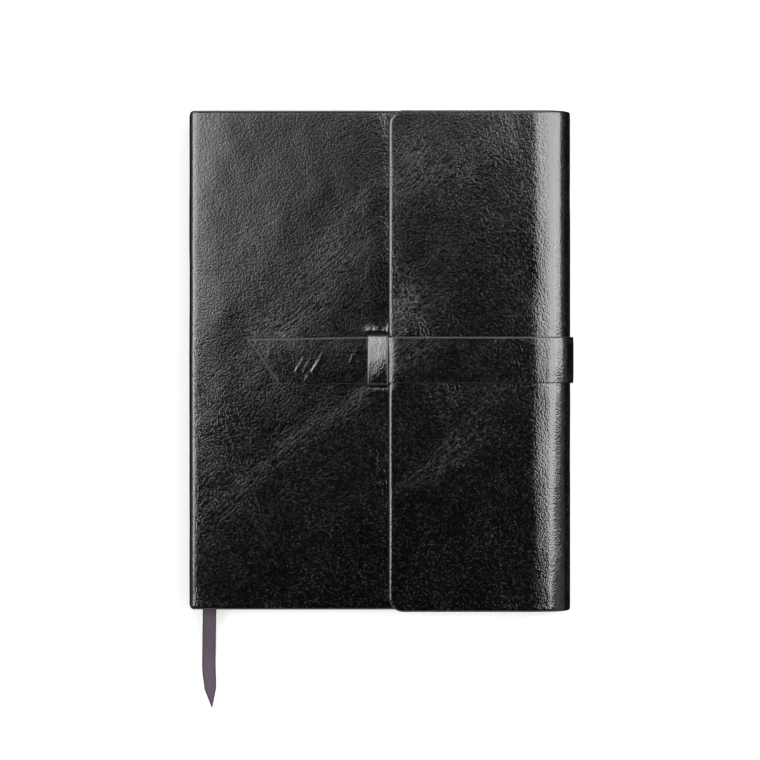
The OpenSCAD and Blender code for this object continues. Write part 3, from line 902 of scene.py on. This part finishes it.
def make_strap_front():
    """Over the flap, down through the keeper and along the cover to its slanted end."""
    slope_right, slope_left, tip = TAIL_HI[0], KEEPER_LO[0] - 0.1, TAIL_LO[0]
    tail_z = TAIL_LO[2] + STRAP_T
    heel, skew, width = tip + 14.8, 1.1, 2 * STRAP_HALF
    rail = strap_rail(slope_right, slope_left, tip, tail_z)
    over = np.linspace(0, rail.s_at(slope_right + 2, STRAP_OUT), 46)
    down = np.linspace(over[-1], rail.s_at(slope_left, tail_z), 30)
    tail_s, top_end, low_end = down[-1], rail.length, rail.s_at(heel, tail_z)
    # f and v are parts of the tail's length and of its width
    f = np.concatenate([np.linspace(0, 0.86, 200), 1 - stations(0, 6.0, 0.6, True, False)[::-1] / 50])
    f = np.unique(np.clip(f, 0, 1))
    v = stations(0, width, 0.4) / width
    top_s, low_s = [joined(over, down, tail_s + f * (end - tail_s)) for end in (top_end, low_end)]
    drop = joined(0 * over, 0 * down, skew * f)
    s = low_s[:, None] + v[None, :] * (top_s - low_s)[:, None]
    y = Y_MID - STRAP_HALF + width * v[None, :] - drop[:, None]
    # the slanted end, from tip to heel, and the direction inward from it
    a = np.array([top_end, Y_MID + STRAP_HALF - skew])
    b = np.array([low_end, Y_MID - STRAP_HALF - skew])
    n = np.array([-(b - a)[1], (b - a)[0]]) / np.linalg.norm(b - a)
    inward = n if n[0] < 0 else -n
    d_end = np.abs((s - a[0]) * n[0] + (y - a[1]) * n[1])
    d_low, d_top = width * v[None, :] + 0 * s, width * (1 - v[None, :]) + 0 * s
    for r, d_side, side in ((1.6, d_low, 1), (0.5, d_top, -1)):
        spot = (d_end < r) & (d_side < r)
        new_end, new_side = round_corner(d_end[spot], d_side[spot], r)
        y_move = side * (new_side - d_side[spot])
        s[spot] += (new_end - d_end[spot] - y_move * inward[1]) / inward[0]
        y[spot] += y_move
    d = np.minimum(np.minimum(d_low, d_top), d_end)
    x, _ = rail.at(s, 0)
    rim_d = np.minimum(np.minimum(LOW_RIM * d_low, d_top), d_end)
    outer = strap_face(s, y, d, rim_d) + creased(x, y)
    inner = -STRAP_T - rim(d, 0.6, 0.35)
    dip = np.where(x > 0, sink(x), 0)
    # the paler cut edge is on the upper edge and the slanted end only; the lower edge stays black as
    # painted shade where the strap presses on the cover
    piece = rolled("strap", rail, s, y, outer, inner, STRAP, wear=wear_of(np.minimum(d_top, d_end)),
                   sinks=(dip, dip))
    folding(piece, "strap_leather", "strap", "strap_front", "strap_tail")


make_strap_root()
make_strap_side()
make_strap_front()


# ---- the keeper loop ----

def keeper_path(top, side, foot_z):
    """The loop's section in Y and Z, from one turned-in tab over the top to the other."""
    tab, foot_r, corner = 7.2, 0.5, 0.75
    half = np.array(line((side - tab, foot_z), (side - foot_r, foot_z), 0.8)
                    + arc((side - foot_r, foot_z + foot_r), foot_r, 270, 360, 18)
                    + line((side, foot_z + foot_r), (side, top - corner), 0.35)
                    + arc((side - corner, top - corner), corner, 0, 90, 10)
                    + line((side - corner, top), (0.0, top), 0.8))
    return np.concatenate([half, [[0.0, top]], half[::-1] * [-1, 1]])


def make_keeper():
    """A band over the strap, with legs through the cover and tabs turned in beneath it."""
    left, right = KEEPER_LO[0], KEEPER_HI[0]
    foot_z = KEEPER_LO[2] + CARD_T / 2
    left_lower = 1.305  # how much lower its top is at the left, beside the flap
    tab_t = 0.56
    top_right = KEEPER_HI[2] - KEEPER_T / 2
    side = KEEPER_OUT - KEEPER_T / 2
    xs = stations(left, right, 0.7)
    over = (xs - left) / (right - left)
    rows = [keeper_path(top_right - left_lower * (1 - t), side, foot_z) for t in over]
    even = np.linspace(0, 1, 2 * min(len(r) for r in rows))
    path = np.array([[np.interp(even, np.linspace(0, 1, len(r)), r[:, k]) for k in range(2)] for r in rows])
    path = path.transpose(0, 2, 1)
    lower_part = ease((side * 0.5 - path[..., 0]) / (side * 1.2))
    twist = (1 - over)[:, None] * (0.15 + 0.5 * lower_part)
    crown = 0.8 * (1 - (path[..., 0] / side) ** 2)
    path[..., 1] += (twist + crown) * (path[..., 1] - foot_z) / (top_right - foot_z)
    way = unit(np.gradient(path, axis=1))
    out = np.stack([way[..., 1], -way[..., 0]], axis=-1)
    along = distances(path[0])
    x, s = np.meshgrid(xs, along, indexing="ij")
    d = np.minimum(x - left, right - x)
    tab_end = np.minimum(s, along[-1] - s)
    full = ease((tab_end - 5) / 2.0)
    base = tab_t / 2 + (KEEPER_T - tab_t) / 2 * full
    uneven = 0.015 * ripple(x, s, 7, 31)

    def face(off):
        p = path + out * off[..., None]
        return np.stack([x, Y_MID + p[..., 0], p[..., 1]], axis=-1)

    upper = face(base + uneven * full + rim(d, 0.5, 0.28))
    under = face(-base - rim(d, 0.4, 0.2))
    piece = sheet_object("keeper", under, upper, x, s, wear_of(d), STRAP)
    placed(piece, "strap_leather", "front_cover", "keeper_loop")


make_keeper()


# ---- cards, endpapers and pages ----

def flat_sheet(name, node, material, slot_name, body, hole=None, shrink=0.0):
    """A thin flat sheet in a node's box, its corners at the fore edge rounded; hole is in X and Y."""
    low, high = box_mm(node)
    step = 12.0
    rail = straight((high[0], high[2]), (low[0], high[2]))
    rows = stations(0, rail.length, step, True, False)
    places = stations(low[1], high[1], step)
    holes = []
    if hole:
        x_low, x_high, y_low, y_high = hole
        holes.append((high[0] - x_high, high[0] - x_low, y_low, y_high))
        rows = with_places(rows, [place for place in (high[0] - x_high, high[0] - x_low) if place > 0], 0.3)
        places = with_places(places, [y_low, y_high], 0.3)
    s, y = np.meshgrid(rows, places, indexing="ij")
    d = np.minimum(np.minimum(y - low[1], high[1] - y), s)
    s, y = round_corners(s, y, low[1], high[1], PAGE_CORNER)
    thick = high[2] - low[2] - shrink
    soften = rim(d, 0.3, min(0.12, thick * 0.3))
    piece = rolled(name, rail, s, y, -shrink / 2 + soften, -thick - shrink / 2 - soften, material,
                   quads_kept(rows, places, *holes))
    placed(piece, slot_name, body, node)


def make_spine_card():
    low, high = box_mm("spine_inlay")
    rail = straight((low[0], high[2]), (low[0], low[2]))
    s, y = np.meshgrid(stations(0, rail.length, 1.5), stations(low[1], high[1], 14), indexing="ij")
    d = np.minimum(np.minimum(s, rail.length - s), np.minimum(y - low[1], high[1] - y))
    piece = rolled("spine_card", rail, s, y, rim(d, 0.3, 0.1), -CARD_T - rim(d, 0.3, 0.15), CARD)
    placed(piece, "card", "spine", "spine_inlay")


def make_covers_inside():
    edge = KEEPER_OUT + 0.03
    keeper_hole = (KEEPER_LO[0] - 0.2, KEEPER_HI[0] + 0.2, Y_MID - edge, Y_MID + edge)
    strap_end = box_mm("strap_anchor")[0][0] - 0.05
    strap_hole = (strap_end, X_FORE, Y_MID - STRAP_HALF - 0.05, Y_MID + STRAP_HALF + 0.05)
    flat_sheet("front_card", "front_board", CARD, "card", "front_cover", hole=keeper_hole)
    flat_sheet("back_card", "back_board", CARD, "card", "back_case", hole=strap_hole)
    flat_sheet("front_paste", "front_pastedown", ENDPAPER, "endpaper", "front_cover")
    flat_sheet("back_paste", "back_pastedown", ENDPAPER, "endpaper", "back_case")
    flat_sheet("front_leaf", "front_flyleaf", ENDPAPER, "endpaper", "upper_pages", shrink=0.04)
    flat_sheet("back_leaf", "back_flyleaf", ENDPAPER, "endpaper", "back_case", shrink=0.04)
    make_spine_card()


def section_mesh(name, node, body, seed):
    """Four folded sheets, one inside another, each folded at the spine: eight leaves."""
    low, high = box_mm(node)
    sheets, thick = 4, 0.118
    pitch = (high[2] - low[2]) / (2 * sheets)
    near = np.array([0, 0.25, 0.7, 1.4, 2.3, 3.4, 5.0])
    rng = np.random.default_rng(seed)
    points, quads, flats = [], [], []
    for i in range(sheets):
        z_low, z_high = low[2] + (i + 0.5) * pitch, high[2] - (i + 0.5) * pitch
        r = (z_high - z_low) / 2
        centre = (low[0] + pitch * sheets + 0.02, (z_low + z_high) / 2)
        end = high[0] - rng.uniform(0, 0.07)
        rail = Rail(line((end, z_high), (centre[0], z_high)) + arc(centre, r, 90, 270, 20)
                    + line((centre[0], z_low), (end, z_low)) + [np.array([end, z_low])])
        leaf = end - centre[0]
        half = np.concatenate([near, np.linspace(near[-1], leaf, 6)[1:]])
        fold = leaf + np.linspace(0, math.pi * r, 7)[1:-1]
        rows = np.concatenate([half, fold, rail.length - half[::-1]])
        tail, head = low[1] + rng.uniform(0, 0.05), high[1] - rng.uniform(0, 0.05)
        inside = np.linspace(tail + near[-1], head - near[-1], 6)
        places = np.concatenate([tail + near[:-1], inside, (head - near[:-1])[::-1]])
        s, y = np.meshgrid(rows, places, indexing="ij")
        first_leaf = s < rail.length / 2
        ds, y = round_corners(np.minimum(s, rail.length - s), y, tail, head, PAGE_CORNER)
        s = np.where(first_leaf, ds, rail.length - ds)
        p, q, used = closed_sheet(on_rail(rail, s, y, thick / 2), on_rail(rail, s, y, -thick / 2))
        flat = np.stack([s, y + 31.0 * i], axis=-1).reshape(-1, 2)
        base = sum(len(x) for x in points)
        points.append(p)
        quads += [[k + base for k in face] for face in q]
        flats.append(np.concatenate([flat, flat])[used])
    points, flats = np.concatenate(points), np.concatenate(flats)
    piece = mesh_object(name, points, quads, flats + [[seed * 17.0, 0]], np.zeros(len(points)), PAPER)
    placed(piece, "paper", body, node)


def make_pages():
    for number in range(1, 13):
        body = "upper_pages" if number <= 6 else "back_case"
        section_mesh("leaves_%02d" % number, "section_%02d" % number, body, 100 + number)


def make_gauze(half, body):
    """Gauze over the folded backs, dipping between one section and the next."""
    low, high = box_mm("mull_" + half)
    rail = straight((low[0], high[2]), (low[0], low[2]), 0.1)
    s, y = np.meshgrid(np.linspace(0, rail.length, 49), stations(low[1], high[1], 6), indexing="ij")
    sections, thick = 6, 0.14
    swell = -0.14 * (1 - np.abs(np.sin(s / rail.length * sections * math.pi)))
    piece = rolled("gauze_" + half, rail, s, y, swell, swell - thick, GAUZE)
    placed(piece, "gauze", body, "mull_" + half)


def make_band(node, body):
    """A sewn band: a core wrapped with thread, in stripes."""
    low, high = box_mm(node)
    sign = 1 if node.startswith("head") else -1
    centre = ((low[0] + high[0]) / 2, high[1] - 0.8 if sign > 0 else low[1] + 0.8)
    foot = box_mm("section_12")[1 if sign > 0 else 0][1]
    zs = np.linspace(low[2] + 0.02, high[2] - 0.02, 97)
    wraps, sides = 24, 20
    radius = 0.7 + 0.08 * np.abs(np.sin((zs - low[2]) / (high[2] - low[2]) * math.pi * wraps / 2))
    close = np.minimum(1, np.sqrt(np.clip(np.minimum(zs - low[2], high[2] - zs) / 0.25, 0.05, 1)))
    points, flat = [], []
    for z, r in zip(zs, radius * close):
        for k in range(sides):
            a = 2 * math.pi * k / sides
            y = centre[1] + r * math.sin(a)
            y = max(y, foot + 0.01) if sign > 0 else min(y, foot - 0.01)
            points.append((centre[0] + r * math.cos(a), y, z))
            flat.append((z, a * 0.75))
    ring = [(k, (k + 1) % sides) for k in range(sides)]
    starts = range(0, len(points), sides)
    faces = [[i + k, i + n, i + sides + n, i + sides + k] for i in starts[:-1] for k, n in ring]
    faces += [list(range(sides))[::-1], [starts[-1] + k for k in range(sides)]]
    piece = mesh_object("sewn_" + node, points, faces, flat, np.zeros(len(points)), BAND)
    placed(piece, "band", body, node)


def make_marker():
    low, high = box_mm("ribbon_marker")
    rail = straight((high[0], high[2]), (low[0], high[2]), 0.1)
    s, y = np.meshgrid(np.linspace(0, rail.length, 21), stations(low[1], high[1], 3.0), indexing="ij")
    d = np.minimum(s, rail.length - s)
    thick, soften = high[2] - low[2], rim(d, 0.35, 0.09)
    piece = rolled("marker", rail, s, y, -0.02 + soften, -thick + 0.01 - soften, RIBBON, wear=wear_of(d))
    placed(piece, "ribbon", "back_case", "ribbon_marker")


make_covers_inside()
make_pages()
for half_name, half_body in (("lower", "back_case"), ("upper", "upper_pages")):
    make_gauze(half_name, half_body)
    make_band("headband_" + half_name, half_body)
    make_band("tailband_" + half_name, half_body)
make_marker()


# ---- floor and light ----

def make_floor():
    mesh = bpy.data.meshes.new("floor")
    side, z = 3.0, -0.0001
    corners = [(-side, -side, z), (side, -side, z), (side, side, z), (-side, side, z)]
    mesh.from_pydata(corners, [], [(0, 1, 2, 3)])
    floor = in_scene("floor", mesh)
    p = Paint("floor", (0.9, 0.9, 0.9), 0.9, **{"Specular IOR Level": 0.0, "Emission Strength": 0.45})
    p.shader.inputs["Emission Color"].default_value = (1, 1, 1, 1)
    mesh.materials.append(p.material)
    floor.visible_glossy = False


def panel(name, near, far, side, width, radiance, twist=0.0):
    """A soft light from near to far, points in X and Z, centred on side in Y and facing the book."""
    near, far = np.array(near, float), np.array(far, float)
    length = float(np.linalg.norm(far - near))
    data = bpy.data.lights.new(name, "AREA")
    data.shape = "RECTANGLE"
    data.size, data.size_y = width, length
    data.energy = radiance * math.pi * width * length
    lamp = in_scene(name, data)
    middle = Vector(((near + far)[0] / 2, side, (near + far)[1] / 2))
    lamp.location = middle
    along = Vector(((far - near)[0], 0, (far - near)[1])).normalized()
    facing = along.cross(Vector((0, 1, 0)))
    if facing.dot(middle) > 0:
        facing = -facing
    across = along.cross(facing)
    turn = Matrix((across, -along, -facing)).transposed()
    lamp.rotation_mode = "QUATERNION"
    lean = math.radians(math.copysign(twist, middle.x))
    lamp.rotation_quaternion = turn.to_quaternion() @ Quaternion((0, 0, 1), lean)
    lamp.visible_camera = False


def make_world():
    """Dark overhead, where the photo's black faces look, and paler towards the horizon."""
    world = bpy.data.worlds.new("world")
    world.use_nodes = True
    tree = world.node_tree
    height = tree.nodes.new("ShaderNodeSeparateXYZ")
    tree.links.new(tree.nodes.new("ShaderNodeTexCoord").outputs["Generated"], height.inputs[0])
    ramp = tree.nodes.new("ShaderNodeValToRGB")
    tree.links.new(height.outputs[2], ramp.inputs[0])
    ramp.color_ramp.interpolation = "EASE"
    stops = ((0.0, 0.02), (0.08, 0.22), (0.42, 0.22), (0.60, 0.42), (0.85, 0.01))
    while len(ramp.color_ramp.elements) < len(stops):
        ramp.color_ramp.elements.new(0.5)
    for element, (place, level) in zip(ramp.color_ramp.elements, stops):
        element.position = place
        element.color = (level, level, level, 1)
    tree.links.new(ramp.outputs[0], tree.nodes["Background"].inputs["Color"])
    bpy.context.scene.world = world


def make_lights():
    panel("left_light", (-0.50, 1.7), (-1.30, 1.40), 0.25, 1.1, 4.0, 14)
    panel("left_mid", (-0.22, 1.7), (-0.50, 1.7), 0.42, 0.8, 1.6)
    panel("left_soft", (-0.08, 1.7), (-0.22, 1.7), 0.48, 0.8, 0.4)
    panel("right_light", (0.43, 1.7), (1.27, 1.41), 0.27, 1.15, 4.0, 20)
    panel("right_low", (1.27, 1.41), (1.72, 0.70), 0.43, 0.94, 3.8)
    panel("top_light", (-0.1, 1.7), (0.42, 1.7), 0.55, 0.45, 0.6)
    panel("far_light", (-0.7, 1.25), (0.7, 1.25), 1.5, 0.7, 1.8)
    panel("near_light", (-0.8, 1.1), (0.8, 1.1), -1.4, 0.7, 0.45)


make_floor()
make_lights()
make_world()
bpy.context.scene.view_settings.view_transform = "Standard"
